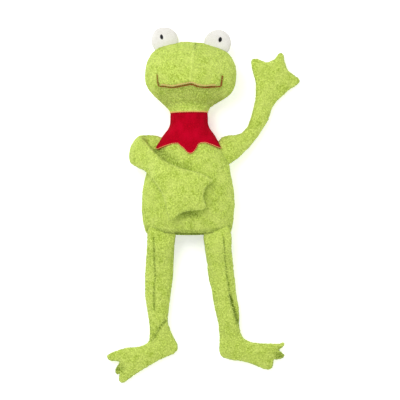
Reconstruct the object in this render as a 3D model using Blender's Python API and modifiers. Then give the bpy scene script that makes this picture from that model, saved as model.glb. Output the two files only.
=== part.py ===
"""Frog hand puppet in terry cloth, lying on its back on a flat surface.

Frame: +Z up out of the belly, +Y towards the head, +X towards the puppet's left side.
The origin is on the flat of the back, under the middle of the body.  Metres.
"""

import math

import bmesh
import bpy
from mathutils import Matrix, Vector

# ---------------------------------------------------------------- driving dimensions
MM = 0.001
GAP = 0.3 * MM            # between pieces that touch
TERRY = 2.4 * MM          # thickness of the terry cloth
RED_CLOTH = 1.6 * MM      # thickness of the red yoke cloth
LINING = 1.0 * MM         # thickness of the inner lining
TUCK = TERRY + 2 * GAP    # how far a filling lies inside its cover
LIMB_TUCK = TERRY + 4 * GAP       # the same in an arm or a leg, whose ends are drawn in
LINING_DEPTH = TERRY + 4 * GAP    # how far the lining's outside lies inside the body's
BODY_STEPS = 24           # points round the body and the head
LIMB_STEPS = 12           # points round an arm or a leg
SIDE_TRIM = 2.2           # degrees that a panel stops short of a side seam
FRONT_TRIM = 1.0          # degrees that a panel stops short of the seam down the front

HEM_Y = -57 * MM          # lower edge of the body
HEM_BAND = 6 * MM         # height of the hem band
LINING_START_Y = -47 * MM
BODY_TOP_Y = 84 * MM      # where the body ends and the bending neck begins
NECK_BOTTOM_Y = 86 * MM
NECK_TOP_Y = 96.5 * MM
NECK_X = -1.25 * MM       # middle of the neck
NECK_Z = 24 * MM
NECK_NOD_Y = 85 * MM      # hinge line of the nodding neck
HEAD_SEAM_Y = 97 * MM     # where the head turns on the neck
HEAD_TILT = math.radians(-2.7)
MOUTH_Y = 130 * MM
MOUTH_GAP = 1.0 * MM      # between the face and the chin
MOUTH_HALF = 39 * MM      # half the mouth's width
MOUTH_CORNER = 13 * MM    # how far the mouth's ends turn up
MOUTH_THREAD = 0.75 * MM  # radius of the sewn line

EYE_RADIUS = 17 * MM
EYE_HALF_THICK = 7 * MM
EYE_CLOTH = 1.6 * MM
FILLING_STEPS = 20         # corners of a ring of the head's filling and of the torso end it sits on
TIP_OUTSIDE, TIP_INSIDE = 0.64, 0.6  # how wide the finger pocket's flat tip is, as a share of its radius
MOUTH_BOW = 1.6 * MM       # how far the mouth line rises in its middle
MOUTH_BOW_WIDTH = 11 * MM
DOME_HEIGHT = 0.55         # how far a limb's closed end bulges, as a share of its thickness
CUT_DEPTH = 60 * MM        # deep enough to cut through any limb
EYE_FROM_NECK = (33 * MM, 186 * MM, 31 * MM)
PUPIL_SIZE = (2.0 * MM, 3.2 * MM, 0.8 * MM)
PUPIL_OFFSET = (2.2 * MM, 3.4 * MM)
PUPIL_SLANT = math.radians(-14)

POCKET_RADIUS = 10.5 * MM     # inside of the finger pocket
POCKET_START_Y = 98.3 * MM
POCKET_END_Y = 152 * MM

# Cross-sections along Y in millimetres: y, middle x, half width, back z, side seam z, front z
BODY_SECTIONS = (
    (-57, -2.0, 53.0, 0, 20, 43), (-50, -2.0, 54.5, 0, 22, 47), (-38, -2.2, 57.0, 0, 24, 54),
    (-20, -2.4, 58.5, 0, 25, 58), (0, -2.5, 57.5, 0, 26, 59), (20, -2.0, 53.5, 0, 26, 57),
    (40, -1.5, 48.0, 0, 25, 53), (55, -1.2, 41.5, 3.2, 25, 49), (66, -1.2, 34.0, 4.0, 25, 46.5),
    (76, -1.2, 26.5, 4.3, 24, 45), (84, -1.25, 23.0, 4.5, 24, 43.5),
)
NECK_SECTIONS = (
    (86, -1.25, 22.5, 4.5, 24, 43.5), (96.5, -1.25, 22.5, 4.5, 24, 44),
)
HEAD_SECTIONS = (
    (98, -1.25, 23.0, 4.0, 24, 46), (104, -1.25, 27.0, 3.0, 25, 50), (110, -1.25, 35.5, 1.5, 28, 55),
    (117, -1.25, 45.6, 0, 31, 61), (124, -1.25, 52.5, 0, 33, 67), (131, -1.25, 55.8, 0, 34, 75),
    (136, -1.25, 56.5, 0, 34, 79), (142, -1.25, 57.0, 0, 34, 79.5), (150, -1.25, 56.5, 0, 34, 76),
    (158, -1.25, 55.0, 0, 34, 71), (166, -1.25, 51.0, 0, 33, 65), (173, -1.25, 46.0, 2, 32, 58),
    (178, -1.25, 39.0, 6, 31, 51), (182, -1.25, 30.0, 12, 30, 44), (184.5, -1.25, 22.0, 18, 29, 38),
    (186, -1.25, 12.0, 24, 29, 34),
)
WIDEST_HEAD_Y = 142 * MM
YOKE_LIFT = RED_CLOTH + 4 * GAP   # how far the yoke's outside stands off the body's
FLATTEN = 1.35            # how much squarer the back is than an ellipse, from lying on it
HEAD_FILLING_ROWS = (101.5, 106, 112, 119, 126, 133, 142, 150, 158, 166, 173, 178, 181)

# The yoke's lower edge: angle round the body in degrees, y in millimetres
YOKE_FRONT_EDGE = (
    (0, 53), (18, 51), (50, 56), (72, 57), (87, 46), (104, 57), (130, 56), (162, 51), (180, 53),
)
YOKE_BACK_EDGE = ((180, 56), (205, 55), (235, 60), (270, 54), (305, 60), (335, 55), (360, 56))

# Limbs in millimetres.  A segment is a row of x, y, z, width and thickness down its middle.
# Hands and feet are flat: a closed outline, and inside it the outline of the part that is filled.
LIMBS = {
    "left_arm": {
        "upper_arm": ((51.5, 54.3, 24, 31, 19), (58, 57.8, 22, 29, 19), (67, 64, 17, 25, 18)),
        "forearm": ((74.5, 71.5, 14, 24, 18), (82.5, 84, 12, 24, 17), (90, 100, 9, 22, 15)),
        "pivots": {"shoulder": (44.5, 50.5, 24), "elbow": (71, 67.5, 15), "wrist": (92.5, 105, 8.5)},
        "end": ("hand", "hand_front", "hand_back", 8, 8),
        "outline": (
            (84, 114), (83, 134), (77, 154), (77, 163), (84, 163), (96, 159), (106, 163), (114, 171),
            (118, 168), (121, 152), (129, 144), (137, 138), (136, 133), (124, 126), (111, 115), (105, 106),
        ),
        "core": ((90, 118), (89, 135), (85, 151), (96, 152), (112, 150), (120, 139), (114, 128), (103, 114)),
    },
    "right_arm": {
        "upper_arm": ((-51.5, 50.6, 22, 28, 18), (-59, 50.5, 17, 28, 18), (-67, 49, 14, 27, 17)),
        "forearm": ((-68, 46.5, 33, 27, 16), (-57, 36.5, 50, 27, 15), (-44, 25, 65, 27, 15)),
        "pivots": {"shoulder": (-43.5, 51, 24), "elbow": (-71, 48, 25), "wrist": (-38.5, 21.5, 67)},
        "end": ("hand", "hand_back", "hand_front", 68, 7.5),
        "outline": (
            (-43, 11), (-34, -4), (-30, -24), (-27, -38), (-21, -39.5), (-13, -31), (-1, -26), (9, -24),
            (19, -23), (20, -16), (15, -8), (17, 3), (24, 10), (27, 16), (16, 20), (-6, 26), (-25, 31),
        ),
        "core": (
            (-35, 12), (-27, -1), (-24, -18), (-20, -28), (-10, -21), (8, -18), (9, -6), (12, 11),
            (-8, 19), (-23, 23),
        ),
    },
    "left_leg": {
        "thigh": ((34.5, -62, 37, 35, 12), (36, -77, 25, 35, 22), (39, -106, 13, 33, 26)),
        "shin": ((40.5, -115, 13, 33, 26), (45, -140, 12.5, 31, 25), (48.5, -161, 11, 29, 22)),
        "pivots": {"hip": (34, -57, 38), "knee": (39.5, -110.5, 13), "ankle": (49.5, -166, 11)},
        "end": ("foot", "foot_top", "foot_sole", 8.5, 8.5),
        "outline": (
            (37, -180), (36.5, -198), (41, -208), (55, -213), (70, -215), (84, -220), (97, -224.5),
            (103, -221), (103, -214), (111, -213.5), (118, -209), (116, -202), (108, -199), (117, -195),
            (119, -190), (112, -190), (90, -190.5), (74, -189), (65, -181), (62, -172), (46, -171),
        ),
        "core": (
            (42, -180), (42, -198), (48, -204.5), (70, -209), (90, -215), (98, -206), (96, -196),
            (72, -195), (58, -185), (56, -177), (47, -176),
        ),
    },
    "right_leg": {
        "thigh": ((-36, -62, 37, 35, 12), (-37, -77, 25, 35, 22), (-38.5, -106, 13, 33, 26)),
        "shin": ((-39, -115, 13, 33, 26), (-40, -139, 12.5, 30, 25), (-41.5, -159, 11, 25, 22)),
        "pivots": {"hip": (-36, -57, 38), "knee": (-38.7, -110.5, 13), "ankle": (-41.5, -164.5, 11)},
        "end": ("foot", "foot_top", "foot_sole", 8.5, 8.5),
        "outline": (
            (-49, -169), (-50, -186), (-62, -194), (-82, -198), (-99, -202), (-104, -208), (-98, -213),
            (-88, -215), (-92, -225), (-89, -238), (-83, -241), (-72, -233), (-53, -221), (-33, -211),
            (-18, -203), (-15, -194), (-22, -182), (-32, -169),
        ),
        "core": (
            (-44, -174), (-45, -188), (-60, -200), (-80, -204), (-83, -213), (-83, -228), (-70, -226),
            (-52, -215), (-30, -205), (-21, -196), (-27, -184), (-36, -174),
        ),
    },
}
LIMB_PINCH = 0.72         # share of a limb's section that is left at its ends
PINCH_LENGTH = 5 * MM
FLAT_RIM = 2.0 * MM       # rounding of a hand's or a foot's edge
CORE_RIM = 1.2 * MM

BODY = bpy.data.collections.new("frog_hand_puppet")
CUTTERS = bpy.data.collections.new("cutters")


# ---------------------------------------------------------------- scene and materials
def clear_scene():
    for obj in list(bpy.data.objects):
        bpy.data.objects.remove(obj)
    bpy.context.scene.collection.children.link(BODY)
    bpy.context.scene.collection.children.link(CUTTERS)


def make_material(name, colour, roughness):
    """A cloth or thread colour, never metallic."""
    material = bpy.data.materials.new(name)
    material.use_nodes = True
    shader = material.node_tree.nodes["Principled BSDF"]
    shader.inputs["Base Color"].default_value = (*colour, 1)
    shader.inputs["Roughness"].default_value = roughness
    shader.inputs["Metallic"].default_value = 0
    return material


def make_materials():
    return {
        "green": make_material("green_terry", (0.51, 0.65, 0.115), 0.95),
        "red": make_material("red_cloth", (0.52, 0.004, 0.02), 0.9),
        "white": make_material("white_cloth", (0.87, 0.845, 0.79), 0.85),
        "lining": make_material("lining_cloth", (0.60, 0.68, 0.30), 0.9),
        "filling": make_material("fibre_filling", (0.85, 0.85, 0.83), 1.0),
        "black": make_material("black_thread", (0.01, 0.01, 0.012), 0.6),
        "brown": make_material("brown_thread", (0.27, 0.07, 0.015), 0.7),
    }


def finish_object(name, mesh, material, collection=BODY):
    """Puts a mesh in the scene as one named piece."""
    obj = bpy.data.objects.new(name, mesh)
    collection.objects.link(obj)
    if material:
        mesh.materials.append(material)
    return obj


def as_cutter(obj):
    obj.hide_render = True
    obj.display_type = "WIRE"
    return obj


def pivot(name, place, parent=None, tilt=0.0):
    """An empty on a joint's axis, which the moving pieces hang from."""
    empty = bpy.data.objects.new(name, None)
    BODY.objects.link(empty)
    empty.location = place
    empty.rotation_euler = (0, 0, tilt)
    if parent:
        carry(empty, parent)
    return empty


def carry(obj, empty):
    """Parents a piece that is modelled in place to a pivot: only the pivot's tilt moves it."""
    obj.parent = empty
    obj.matrix_parent_inverse = Matrix.Translation(-empty.location)
    return obj


def cut(obj, cutter, operation="DIFFERENCE"):
    boolean = obj.modifiers.new(operation.lower(), "BOOLEAN")
    boolean.operation = operation
    boolean.solver = "EXACT"
    boolean.object = cutter
    return obj


# ---------------------------------------------------------------- lofted surfaces
def mesh_from(bm, name):
    mesh = bpy.data.meshes.new(name)
    bm.to_mesh(mesh)
    bm.free()
    mesh.shade_smooth()
    mesh.set_sharp_from_angle(angle=math.radians(40))
    return mesh


def loft(rows, wrap, close_ends):
    """A mesh through rows of points of the same length, with its faces pointing outwards."""
    bm = bmesh.new()
    grid = [[bm.verts.new(p) for p in row] for row in rows]
    count = len(grid[0])
    for low, high in zip(grid, grid[1:]):
        for i in range(count if wrap else count - 1):
            j = (i + 1) % count
            bm.faces.new((low[i], low[j], high[j], high[i]))
    if close_ends:
        bm.faces.new(grid[0][::-1])
        bm.faces.new(grid[-1])
    bmesh.ops.recalc_face_normals(bm, faces=bm.faces)
    middle = sum((v.co for v in bm.verts), Vector()) / len(bm.verts)
    bm.faces.ensure_lookup_table()
    sample = bm.faces[len(rows) // 2 * (count if wrap else count - 1) - count // 2]
    if not close_ends and sample.normal.dot(sample.calc_center_median() - middle) < 0:
        bmesh.ops.reverse_faces(bm, faces=bm.faces)
    return mesh_from(bm, "loft")


def add_thickness(obj, thickness):
    """Turns an outer surface into a shell that grows inwards."""
    solidify = obj.modifiers.new("cloth", "SOLIDIFY")
    solidify.thickness = thickness
    solidify.offset = -1
    return obj


def section_at(sections, y):
    """Middle x, half width, back, side seam and front at a height, in metres."""
    for low, high in zip(sections, sections[1:]):
        if y <= high[0] * MM:
            break
    share = max(0.0, min(1.0, (y / MM - low[0]) / (high[0] - low[0])))
    return [(a + (b - a) * share) * MM for a, b in zip(low[1:], high[1:])]


def point_on(sections, y, degrees, inset=0.0, at_y=None):
    """A point of a body-like surface: 0 degrees is its +X side seam and 90 its front.

    at_y places the section of one height at another height.
    """
    middle, half, back, side, front = section_at(sections, y)
    turn = math.radians(degrees)
    x = middle + (half - inset) * math.cos(turn)
    if math.sin(turn) >= 0:
        z = side + (front - side - inset) * math.sin(turn)
    else:
        z = max(back + inset, side + ((side - back) * FLATTEN - inset) * math.sin(turn))
    return Vector((x, y if at_y is None else at_y, z))


def ring_of(sections, y, inset):
    return [point_on(sections, y, 360 * i / BODY_STEPS, inset) for i in range(BODY_STEPS)]


def sleeve(name, sections, heights, inset, thickness, material):
    """A closed ring of cloth round the body or the neck."""
    rows = [ring_of(sections, y, inset) for y in heights]
    return add_thickness(finish_object(name, loft(rows, True, False), material), thickness)


def panel(name, sections, heights, start, end, material, thickness, grow=0.0):
    """A panel of a body-like surface between two seams, given as angles.

    heights(angle) gives the panel's lower and upper edge; grow moves it outwards.
    """
    first = start + (FRONT_TRIM if start == 90 else SIDE_TRIM)
    last = end - (FRONT_TRIM if end == 90 else SIDE_TRIM)
    steps = round((end - start) / 360 * BODY_STEPS)
    bottom, top = heights(first)
    inside = [s[0] * MM for s in sections if bottom < s[0] * MM < top]
    shares = [(y - bottom) / (top - bottom) for y in [bottom] + inside + [top]]
    rows = []
    for share in shares:
        row = []
        for i in range(steps + 1):
            angle = first + (last - first) * i / steps
            low, high = heights(angle)
            row.append(point_on(sections, low + (high - low) * share, angle, -grow))
        rows.append(row)
    return add_thickness(finish_object(name, loft(rows, False, False), material), thickness)


def between(table, angle):
    """Reads a table of angles and millimetres, with straight lines between its entries."""
    for low, high in zip(table, table[1:]):
        if angle <= high[0]:
            break
    share = (angle - low[0]) / (high[0] - low[0])
    return (low[1] + (high[1] - low[1]) * share) * MM


# ---------------------------------------------------------------- the body
def build_body(paint):
    """Two front panels, the back, the hem, the lining and the red yoke."""
    panels_start = HEM_Y + HEM_BAND + GAP
    for name, start, end in (("front_left", 0, 90), ("front_right", 90, 180), ("back", 180, 360)):
        panel(f"body_{name}", BODY_SECTIONS, lambda angle: (panels_start, BODY_TOP_Y), start, end,
              paint["green"], TERRY)
    hem_rows = [HEM_Y + HEM_BAND * share for share in (0, 0.5, 1)]
    sleeve("hem_band", BODY_SECTIONS, hem_rows, 0, LINING_DEPTH + LINING, paint["green"])
    section_rows = [s[0] * MM for s in BODY_SECTIONS[2:]]
    sleeve("body_lining", BODY_SECTIONS, [LINING_START_Y] + section_rows, LINING_DEPTH, LINING, paint["lining"])
    for name, edge, start, end in (("front", YOKE_FRONT_EDGE, 0, 180), ("back", YOKE_BACK_EDGE, 180, 360)):
        panel(f"yoke_{name}", BODY_SECTIONS, lambda angle, edge=edge: (between(edge, angle), BODY_TOP_Y),
              start, end, paint["red"], RED_CLOTH, grow=YOKE_LIFT)


# ---------------------------------------------------------------- the neck and the head
def build_neck(paint):
    """The part of the yoke round the neck, which bends, and its lining."""
    nod = pivot("neck_nod_pivot", Vector((NECK_X, NECK_NOD_Y, NECK_Z)))
    rows = (NECK_BOTTOM_Y, NECK_TOP_Y)
    carry(sleeve("neck_sleeve", NECK_SECTIONS, rows, 0, RED_CLOTH, paint["red"]), nod)
    inset = RED_CLOTH + 2 * GAP
    carry(sleeve("neck_lining", NECK_SECTIONS, rows, inset, LINING, paint["lining"]), nod)
    return nod


def build_head(paint, neck):
    """The head and everything in and on it, modelled upright and tilted by its pivot."""
    turn = pivot("head_turn_pivot", Vector((NECK_X, HEAD_SEAM_Y, NECK_Z)), neck, HEAD_TILT)
    low = HEAD_SECTIONS[0][0] * MM
    top = HEAD_SECTIONS[-1][0] * MM
    lip = MOUTH_Y + MOUTH_GAP / 2
    chin = MOUTH_Y - MOUTH_GAP / 2
    made = []
    for name, start, end, heights in (
        ("face_left", 0, 90, (lip, top)), ("face_right", 90, 180, (lip, top)),
        ("chin_panel", 0, 180, (low, chin)), ("head_back", 180, 360, (low, top)),
    ):
        made.append(panel(name, HEAD_SECTIONS, lambda angle, heights=heights: heights, start, end,
                          paint["green"], TERRY))
    made += [head_filling(paint), finger_pocket(paint), mouth_stitching(paint)]
    made += build_eyes(paint)
    for obj in made:
        carry(obj, turn)


def head_filling(paint):
    """The fibre inside the head, with the hole that the finger pocket lines."""
    rows = []
    for height in HEAD_FILLING_ROWS:
        y = height * MM
        section_y = y + TUCK if y > WIDEST_HEAD_Y else y - TUCK
        rows.append([point_on(HEAD_SECTIONS, section_y, 360 * i / FILLING_STEPS, TUCK, y) for i in range(FILLING_STEPS)])
    filling = finish_object("head_filling", loft(rows, True, True), paint["filling"])
    bm = bmesh.new()
    radius = POCKET_RADIUS + LINING + GAP
    length = POCKET_END_Y + LINING - HEAD_SEAM_Y
    bmesh.ops.create_cone(bm, cap_ends=True, segments=16, radius1=radius, radius2=radius, depth=length)
    hole = mesh_from(bm, "pocket_hole")
    middle = (NECK_X, HEAD_SEAM_Y + length / 2, NECK_Z)
    hole.transform(Matrix.Translation(middle) @ Matrix.Rotation(math.pi / 2, 4, "X"))
    cutter = as_cutter(finish_object("pocket_hole", hole, None, CUTTERS))
    carry(cutter, bpy.data.objects["head_turn_pivot"])
    return cut(filling, cutter)


def finger_pocket(paint):
    """A thimble of lining cloth for the fingers, open towards the neck: a turned profile."""
    inner = POCKET_RADIUS
    outer = POCKET_RADIUS + LINING
    start = POCKET_START_Y
    end = POCKET_END_Y
    shoulder = end - 5 * MM
    profile = (
        (0, end), (outer * TIP_OUTSIDE, end), (outer, shoulder), (outer, start),
        (inner, start), (inner, shoulder), (inner * TIP_INSIDE, end - LINING), (0, end - LINING),
    )
    bm = bmesh.new()
    line = [bm.verts.new((radius, y, 0)) for radius, y in profile]
    edges = [bm.edges.new(pair) for pair in zip(line, line[1:])]
    bmesh.ops.spin(bm, geom=line + edges, cent=(0, 0, 0), axis=(0, 1, 0), angle=2 * math.pi, steps=16)
    bmesh.ops.remove_doubles(bm, verts=bm.verts, dist=0.01 * MM)
    bmesh.ops.recalc_face_normals(bm, faces=bm.faces)
    mesh = mesh_from(bm, "finger_pocket")
    mesh.transform(Matrix.Translation((NECK_X, 0, NECK_Z)))
    return finish_object("finger_pocket", mesh, paint["lining"])


def mouth_stitching(paint):
    """The sewn line of the mouth as one thread, turned up at both ends."""
    corner_steps = 4
    across_steps = 22
    corner = [(MOUTH_HALF, MOUTH_Y + MOUTH_CORNER * (i + 1) / corner_steps) for i in range(corner_steps)]
    route = [(-x, y) for x, y in reversed(corner)]
    for i in range(across_steps + 1):
        x = -MOUTH_HALF + 2 * MOUTH_HALF * i / across_steps
        bow = MOUTH_BOW * math.exp(-((x / MOUTH_BOW_WIDTH) ** 2))
        route.append((x, MOUTH_Y + bow))
    route += corner
    curve = bpy.data.curves.new("mouth_stitching", "CURVE")
    curve.dimensions = "3D"
    curve.bevel_depth = MOUTH_THREAD
    curve.bevel_resolution = 1
    curve.use_fill_caps = True
    spline = curve.splines.new("POLY")
    spline.points.add(len(route) - 1)
    for point, (x, y) in zip(spline.points, route):
        point.co = (*on_the_face(x, y, MOUTH_THREAD + 4 * GAP), 1)
    obj = bpy.data.objects.new("mouth_stitching", curve)
    BODY.objects.link(obj)
    curve.materials.append(paint["brown"])
    return obj


def on_the_face(x, y, lift):
    """A point in front of the face, x from the head's middle."""
    middle, half, _, side, front = section_at(HEAD_SECTIONS, y)
    return Vector((middle + x, y, side + (front - side) * math.sqrt(1 - (x / half) ** 2) + lift))


def pillow(name, sizes, place, rings, material, collection=BODY):
    """A round pillow: a sphere flattened to its half sizes."""
    bm = bmesh.new()
    bmesh.ops.create_uvsphere(bm, u_segments=16, v_segments=rings, radius=1)
    mesh = mesh_from(bm, name)
    mesh.transform(Matrix.Translation(place) @ Matrix.Diagonal((*sizes, 1)))
    return finish_object(name, mesh, material, collection)


def build_eyes(paint):
    """White cloth eyes with filling, ending where the head's crown seam takes them in."""
    rows = [[point_on(HEAD_SECTIONS, s[0] * MM, 360 * i / FILLING_STEPS, -3 * GAP) for i in range(FILLING_STEPS)]
            for s in HEAD_SECTIONS[6:]]
    crown = as_cutter(finish_object("crown_cutter", loft(rows, True, True), None, CUTTERS))
    made = [crown]
    for side, sign in (("left", 1), ("right", -1)):
        place = Vector((NECK_X + sign * EYE_FROM_NECK[0], EYE_FROM_NECK[1], EYE_FROM_NECK[2]))
        sizes = [(EYE_RADIUS - d, EYE_RADIUS - d, EYE_HALF_THICK - d) for d in (0, EYE_CLOTH, EYE_CLOTH + 2 * GAP)]
        eye = pillow(f"{side}_eye", sizes[0], place, 8, paint["white"])
        hollow = as_cutter(pillow(f"{side}_eye_hollow", sizes[1], place, 8, None, CUTTERS))
        core = pillow(f"{side}_eye_filling", sizes[2], place, 8, paint["filling"])
        cut(cut(eye, hollow), crown)
        cut(core, crown)
        pupil = pillow(f"{side}_pupil", PUPIL_SIZE, (0, 0, 0), 6, paint["black"])
        shift = Vector((sign * PUPIL_OFFSET[0], PUPIL_OFFSET[1], EYE_HALF_THICK + PUPIL_SIZE[2] + GAP))
        slant = Matrix.Rotation(sign * PUPIL_SLANT, 4, "Z")
        pupil.data.transform(Matrix.Translation(place + shift) @ slant)
        made += [eye, hollow, core, pupil]
    return made


# ---------------------------------------------------------------- arms and legs
def limb_stations(points):
    """Places and half sizes down a limb, drawn in at both ends."""
    stations = [(Vector(p[:3]) * MM, Vector((p[3], p[4])) * MM / 2) for p in points]
    for end, beside in ((0, 1), (-1, -2)):
        place, size = stations[end]
        step = stations[beside][0] - place
        full = (place + step.normalized() * PINCH_LENGTH, size.lerp(stations[beside][1], PINCH_LENGTH / step.length))
        drawn_in = (place, size * LIMB_PINCH)
        stations = [drawn_in, full] + stations[1:] if end == 0 else stations[:-1] + [full, drawn_in]
    return stations


def ellipse(centre, along, size):
    """A ring of points square to a limb's direction, its width level."""
    along = along.normalized()
    side = along.cross(Vector((0, 0, 1))).normalized()
    up = side.cross(along)
    turns = [2 * math.pi * i / LIMB_STEPS for i in range(LIMB_STEPS)]
    return [centre + side * size[0] * math.cos(t) + up * size[1] * math.sin(t) for t in turns]


def limb_rings(points, inset, domed):
    """Rings down a limb; domed closes its two ends with low domes."""
    stations = [(place, size - Vector((inset, inset))) for place, size in limb_stations(points)]
    last = len(stations) - 1
    rings = []
    for i, (place, size) in enumerate(stations):
        along = stations[min(i + 1, last)][0] - stations[max(i - 1, 0)][0]
        rings.append(ellipse(place, along, size))
    if domed:
        height = DOME_HEIGHT
        for end, beside in ((0, 1), (last, last - 1)):
            place, size = stations[end]
            out = (place - stations[beside][0]).normalized()
            along = out if end else -out
            for angle in (math.radians(38), math.radians(72)):
                centre = place + out * min(size) * height * math.sin(angle)
                ring = ellipse(centre, along, size * math.cos(angle))
                rings = rings + [ring] if end else [ring] + rings
    return rings


def build_limb(name, limb, paint):
    """Two segments and a flat end, each on its own pivot."""
    side, _ = name.split("_")
    empties = []
    for joint, place in limb["pivots"].items():
        parent = empties[-1] if empties else None
        empties.append(pivot(f"{side}_{joint}_pivot", Vector(place) * MM, parent))
    segments = [key for key in limb if key in ("upper_arm", "forearm", "thigh", "shin")]
    for segment, empty in zip(segments, empties):
        cover = loft(limb_rings(limb[segment], 0, False), True, False)
        cover = finish_object(f"{side}_{segment}_cover", cover, paint["green"])
        carry(add_thickness(cover, TERRY), empty)
        core = loft(limb_rings(limb[segment], LIMB_TUCK, True), True, True)
        carry(finish_object(f"{side}_{segment}_filling", core, paint["filling"]), empty)
    build_flat_end(side, limb, empties[-1], paint)


def flat_solid(name, outline, middle_z, half_thick, rim, inset=0.0, collection=BODY):
    """A flat piece with a rounded rim: a bevelled 2D curve, made into a mesh."""
    curve = bpy.data.curves.new(name, "CURVE")
    curve.dimensions = "2D"
    curve.fill_mode = "BOTH"
    curve.resolution_u = 2
    curve.extrude = half_thick - rim
    curve.bevel_depth = rim
    curve.bevel_resolution = 1 if rim > CORE_RIM else 0
    curve.offset = -rim - inset
    spline = curve.splines.new("BEZIER")
    spline.use_cyclic_u = True
    spline.bezier_points.add(len(outline) - 1)
    for point, (x, y) in zip(spline.bezier_points, outline):
        point.co = (x * MM, y * MM, 0)
        point.handle_left_type = "AUTO"
        point.handle_right_type = "AUTO"
    source = bpy.data.objects.new(name, curve)
    collection.objects.link(source)
    source.location.z = middle_z
    bpy.context.view_layer.update()
    graph = bpy.context.evaluated_depsgraph_get()
    bm = bmesh.new()
    bm.from_mesh(bpy.data.meshes.new_from_object(source.evaluated_get(graph)))
    bmesh.ops.transform(bm, matrix=source.matrix_world, verts=bm.verts)
    bpy.data.objects.remove(source)
    bmesh.ops.remove_doubles(bm, verts=bm.verts, dist=0.02 * MM)
    bmesh.ops.recalc_face_normals(bm, faces=bm.faces)
    return finish_object(name, mesh_from(bm, name), None, collection)


def half_space(name, middle_z, sign):
    """A large box above or below the seam of a hand or a foot."""
    bm = bmesh.new()
    bmesh.ops.create_cube(bm, size=1)
    depth = CUT_DEPTH
    mesh = mesh_from(bm, name)
    mesh.transform(Matrix.Diagonal((1, 1, depth, 1)))
    mesh.transform(Matrix.Translation((0, 0, middle_z + sign * (depth + GAP) / 2)))
    return as_cutter(finish_object(name, mesh, None, CUTTERS))


def build_flat_end(side, limb, empty, paint):
    """A hand or a foot: an upper and an under panel, with the filling between them."""
    part, upper, under, middle, half = limb["end"]
    middle_z = middle * MM
    half_thick = half * MM
    hollow = flat_solid(f"{side}_{part}_hollow", limb["core"], middle_z, half_thick - TERRY, CORE_RIM,
                        collection=CUTTERS)
    carry(as_cutter(hollow), empty)
    for name, sign in ((upper, 1), (under, -1)):
        shell = flat_solid(f"{side}_{name}", limb["outline"], middle_z, half_thick, FLAT_RIM)
        shell.data.materials.append(paint["green"])
        cut(shell, hollow)
        half_box = half_space(f"{side}_{name}_half", middle_z, sign)
        carry(half_box, empty)
        cut(shell, half_box, "INTERSECT")
        carry(shell, empty)
    core = flat_solid(f"{side}_{part}_filling", limb["core"], middle_z, half_thick - TUCK, CORE_RIM,
                      inset=2 * GAP)
    core.data.materials.append(paint["filling"])
    carry(core, empty)


def main():
    clear_scene()
    paint = make_materials()
    build_body(paint)
    build_head(paint, build_neck(paint))
    for name, limb in LIMBS.items():
        build_limb(name, limb, paint)


main()
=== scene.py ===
import math

import bpy
import numpy as np
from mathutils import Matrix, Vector
from mathutils.geometry import delaunay_2d_cdt


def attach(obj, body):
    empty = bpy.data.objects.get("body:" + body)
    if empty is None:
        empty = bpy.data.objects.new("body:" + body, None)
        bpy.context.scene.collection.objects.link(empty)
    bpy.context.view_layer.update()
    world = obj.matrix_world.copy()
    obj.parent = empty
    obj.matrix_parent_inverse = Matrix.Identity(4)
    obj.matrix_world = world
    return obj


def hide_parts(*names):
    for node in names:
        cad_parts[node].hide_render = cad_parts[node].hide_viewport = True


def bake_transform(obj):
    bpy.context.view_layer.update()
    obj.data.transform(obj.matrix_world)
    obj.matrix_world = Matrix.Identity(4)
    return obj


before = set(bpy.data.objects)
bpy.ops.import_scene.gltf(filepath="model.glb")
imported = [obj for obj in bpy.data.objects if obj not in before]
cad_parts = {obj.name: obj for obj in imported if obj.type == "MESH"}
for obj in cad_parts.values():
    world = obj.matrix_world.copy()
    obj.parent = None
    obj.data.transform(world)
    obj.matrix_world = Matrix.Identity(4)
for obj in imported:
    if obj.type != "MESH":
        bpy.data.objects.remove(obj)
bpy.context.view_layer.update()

MM = 0.001
CELL = 0.85          # spacing of the points of a cloth surface, in millimetres
MID_X = -1.25        # the head's and the neck's middle
AIM = np.array((12.5, -12.5))            # where the camera, straight above, looks
CAMERA_Z, CAMERA_AWAY = 2030.0, 2000.0   # its height over the floor, and over what it frames at full size
LENS, SENSOR = 144, 36                   # in millimetres, for that frame
FLOOR_GAP = 0.15                         # the lowest that cloth comes, above the floor
CLUMP, TUFT = 2.7, 1.45                  # spacings of the pile's clumps and tufts
NECK_Y, HEAD_Y = 97, 98                  # where the head turns on the neck, and where its own tilt starts


# ---------------------------------------------------------------- numbers and noise

def smooth_step(t):
    t = np.clip(t, 0, 1)
    return t * t * (3 - 2 * t)


def bump(x, width):
    return np.exp(-((x / width) ** 2))


def as_seen(plan, z):
    """Where something lies whose place as the camera sees it is plan: higher things look further out."""
    return AIM + (np.asarray(plan, float) - AIM) * ((CAMERA_Z - np.asarray(z)) / CAMERA_AWAY)[..., None]


def hashed(i, j, k, seed):
    """A number from 0 to 1 for each lattice point, always the same."""
    h = (i * 73856093) ^ (j * 19349663) ^ (k * 83492791) ^ (seed * 2654435761)
    h &= 0xFFFFFFFF
    h = ((h ^ (h >> 15)) * 2246822519) & 0xFFFFFFFF
    h = ((h ^ (h >> 13)) * 3266489917) & 0xFFFFFFFF
    return (h ^ (h >> 16)) / 4294967296.0


def value_noise(p, size, seed):
    """Smooth noise from -1 to 1 at points p, with lumps of that size in millimetres."""
    q = p / size
    base = np.floor(q).astype(np.int64)
    t = q - base
    t = t * t * (3 - 2 * t)
    total = np.zeros(len(p))
    for dx in (0, 1):
        for dy in (0, 1):
            for dz in (0, 1):
                w = ((t[:, 0] if dx else 1 - t[:, 0]) * (t[:, 1] if dy else 1 - t[:, 1])
                     * (t[:, 2] if dz else 1 - t[:, 2]))
                total += w * hashed(base[:, 0] + dx, base[:, 1] + dy, base[:, 2] + dz, seed)
    return total * 2 - 1


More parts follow.
